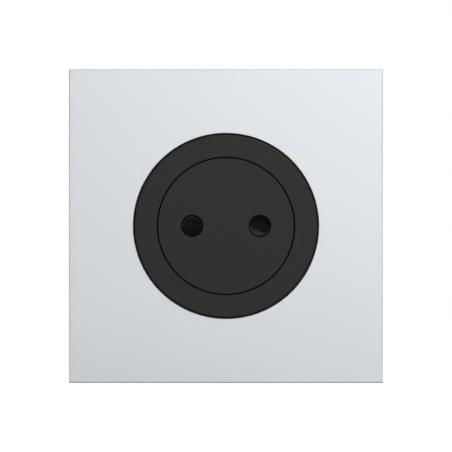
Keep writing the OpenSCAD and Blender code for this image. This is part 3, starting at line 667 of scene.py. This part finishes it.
def screw(head, thread, place, axis, turn):
    """A head and a thread, built along z, with z turned to an axis and the recess turned
    round it, at a place."""
    points, faces = together([head, thread])
    axis = np.array(axis, dtype=float)
    side = np.roll(axis, 1)
    first = np.cos(turn) * side + np.sin(turn) * np.cross(axis, side)
    return place + points @ np.stack([first, np.cross(axis, first), axis]), faces


frame_head, frame_sink, frame_shank = 0.0023, 0.0011, 0.0012
frame_pitch, frame_turns = 0.0009, (0.3, 1.1)
cross_reach, cross_half = 0.0012, 0.00035
frame_cross_depth = 0.0009
cross = [(cross_reach, cross_half), (cross_half, cross_reach)]

low, high = map(np.array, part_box("frame_screws"))
head = recessed_head([(frame_head - 0.00005, 0), (frame_head, -0.00007),
                      (frame_shank, -frame_sink), (0, -frame_sink)], cross, frame_cross_depth)
thread = rolled_thread(frame_shank, frame_pitch, -frame_sink + thread_gap, low[1] - high[1])
at = high - frame_head
tops = [(side * at[0], low[1], side * at[2]) for side in (1, -1)]
frame_screws = new_piece("frame_screws_turned", *together([
    screw(head, thread, top, (0, -1, 0), turn) for top, turn in zip(tops, frame_turns)
]), screw_zinc, "socket", sharp=crease)
mark_recesses(frame_screws, tops, (0, -1, 0), cross_reach, frame_cross_depth)
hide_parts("frame_screws")


# The two screws of the shutter's cover are small countersunk ones with a short slot. They
# cut their thread in the face's bosses, and move with the face.
small_head, small_sink, small_shank = 0.0018, 0.0009, 0.0009
small_pitch, small_turns = 0.0007, (0.5, 1.9)
slot_reach, slot_half, slot_depth = 0.0009, 0.0002, 0.0005

low, high = map(np.array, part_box("shutter_screws"))
head = recessed_head([(small_head - 0.00005, 0), (small_head, -0.00006),
                      (small_shank, -small_sink), (0, -small_sink)],
                     [(slot_reach, slot_half)], slot_depth)
thread = rolled_thread(small_shank, small_pitch, -small_sink + thread_gap, low[1] - high[1])
at = high - small_head
tops = [(0, high[1], side * at[2]) for side in (1, -1)]
shutter_screws = new_piece("shutter_screws_turned", *together([
    screw(head, thread, top, (0, 1, 0), turn) for top, turn in zip(tops, small_turns)
]), screw_zinc, "face", sharp=crease)
mark_recesses(shutter_screws, tops, (0, 1, 0), slot_reach, slot_depth)
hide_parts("shutter_screws")


# Two long pan-head screws go through the rear cover and the block into the well's bosses.
# They are cold headed with a cross recess, and their thread is rolled over the whole shank.
pan_head, pan_high, pan_shank = 0.0022, 0.0014, 0.0012
pan_pitch, pan_turns = 0.001, (0.9, 0.2)
pan_dome, pan_cross_depth, pan_mark_depth = 0.00022, 0.0008, 0.001

low, high = map(np.array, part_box("body_screws"))
head = recessed_head([(0.00178, -pan_dome), (0.002, -0.0004), (0.00215, -0.00066),
                      (pan_head, -0.00092), (pan_head, -pan_high), (0, -pan_high)],
                     cross, pan_cross_depth, dome=pan_dome)
thread = rolled_thread(pan_shank, pan_pitch, -pan_high + thread_gap, low[1] - high[1])
at = high - pan_head
tops = [(side * at[0], high[1], -side * at[2]) for side in (1, -1)]
body_screws = new_piece("body_screws_turned", *together([
    screw(head, thread, top, (0, 1, 0), turn) for top, turn in zip(tops, pan_turns)
]), screw_zinc, "socket", sharp=crease)
mark_recesses(body_screws, tops, (0, 1, 0), cross_reach, pan_mark_depth)
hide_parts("body_screws")


# The clamp screws of the terminals are M3 cheese-head screws with a slot right across.
# They stand backed out, as they leave the factory, so that a wire can enter.
clamp_head, clamp_high, clamp_shank = 0.0027, 0.0018, 0.0015
clamp_slot, clamp_depth, clamp_pitch = 0.0007, 0.0008, 0.0005


def slotted_head(profile, slot_width, floor, arc=9, across=7):
    """A turned head with a slot along x. profile is its side from the top's edge down, as
    pairs of radius and height, and floor the pair at which the slot ends. On each level
    the angle p runs with t from -2 to 2: radius sin p is half the slot's width at t = 1,
    and p is a right angle at t = 2."""
    radius, height = np.array(profile).T[:, :, None]
    t = np.concatenate([np.linspace(-2, -1, arc), [0], np.linspace(1, 2, arc)])[None]
    brink = np.arcsin(slot_width / 2 / np.maximum(radius, slot_width))
    p = np.where(abs(t) > 1, brink + (abs(t) - 1) * (np.pi / 2 - brink), abs(t) * brink)
    p = np.sign(t) * p
    side = np.stack([radius * np.cos(p), radius * np.sin(p), height + 0 * p], axis=-1)
    # The side has no faces across the slot's mouth
    faces = grid_faces(*side.shape[:2], wrap=False)
    level, column = np.divmod(np.arange(len(faces)), side.shape[1] - 1)
    faces = faces[(level >= floor) | ((column != arc - 1) & (column != arc))]
    # The top's rows run from its lower rim into the slot, along it and out again
    path = [(0, i) for i in range(arc)] + [(i, arc - 1) for i in range(1, floor + 1)]
    path += [(floor, arc)] + [(i, arc + 1) for i in range(floor, -1, -1)]
    path += [(0, i) for i in range(arc + 2, 2 * arc + 1)]
    rim = side[tuple(np.array(path).T)][:, None]
    share = np.linspace(-1, 1, across)[None, :, None]
    top = rim * (1, 1, 1) + rim * (1, 0, 0) * (share - 1)
    side = side.reshape(-1, 3)
    return together([(top.reshape(-1, 3), grid_faces(len(path), across, wrap=False)),
                     (side, faces), (side * (-1, 1, 1), faces)])


head = slotted_head([(clamp_head - 0.00018, 0), (clamp_head - 0.00005, -0.00005),
                     (clamp_head, -0.00018), (clamp_head, -clamp_depth),
                     (clamp_head, -clamp_high), (0, -clamp_high)], clamp_slot, 3)
for sign, name, turns in ((-1, "terminal_screws_left", (0.4, 2.2)),
                          (1, "terminal_screws_right", (1.3, 2.9))):
    low, high = map(np.array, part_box(name))
    thread = rolled_thread(clamp_shank, clamp_pitch, -clamp_high + thread_gap,
                           low[0] - high[0])
    outer = high[0] if sign > 0 else low[0]
    depth = (low[1] + high[1]) / 2
    tops = [(outer, depth, side * (high[2] - clamp_head)) for side in (1, -1)]
    clamp_screws = new_piece(name + "_turned", *together([
        screw(head, thread, top, (sign, 0, 0), turn) for top, turn in zip(tops, turns)
    ]), screw_zinc, "socket", sharp=crease)
    mark_recesses(clamp_screws, tops, (sign, 0, 0), clamp_head, clamp_depth)
    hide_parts(name)


# The washers on the plate's studs are star locks: thin domed rings of spring steel whose
# slotted inner edge bites into the stud as they are pushed on.
washer_outer, washer_bore, washer_root = 0.0035, 0.00152, 0.0024
washer_steel, washer_dome, washer_teeth = 0.00022, 0.00016, 8
notch_to, notch_from, washer_rings = 0.14, 0.96, 7

low, high = map(np.array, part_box("stud_washers"))
step = np.array([0, 0.13, 0.16, 0.35, 0.55, 0.75, 0.94, 0.97])
share = (np.arange(washer_teeth)[:, None] + step[None]).ravel() / washer_teeth
notched = np.tile((step < notch_to) | (step > notch_from), washer_teeth)
inner = np.where(notched, washer_root, washer_bore)[None]
# Each ray goes from the inner edge to the rim, and rises by dome (1 - r / outer) scaled
radius = inner + np.linspace(0, 1, washer_rings)[:, None] * (washer_outer - inner)
lift = washer_dome * (washer_outer - radius) / (washer_outer - washer_bore)
a = 2 * np.pi * share[None]
ring = np.stack([radius * np.cos(a), low[1] + washer_steel / 2 + lift, radius * np.sin(a)],
                axis=-1).reshape(-1, 3)
at = high - washer_outer
washers = new_piece("stud_washers_domed", *together([
    (ring + (x * at[0], 0, z * at[2]), grid_faces(*radius.shape, wrap=True))
    for x in (-1, 1) for z in (-1, 1)
]), spring_steel, "socket", sharp=crease)
sheet = washers.modifiers.new("sheet", "SOLIDIFY")
sheet.thickness, sheet.offset = washer_steel, 0
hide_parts("stud_washers")
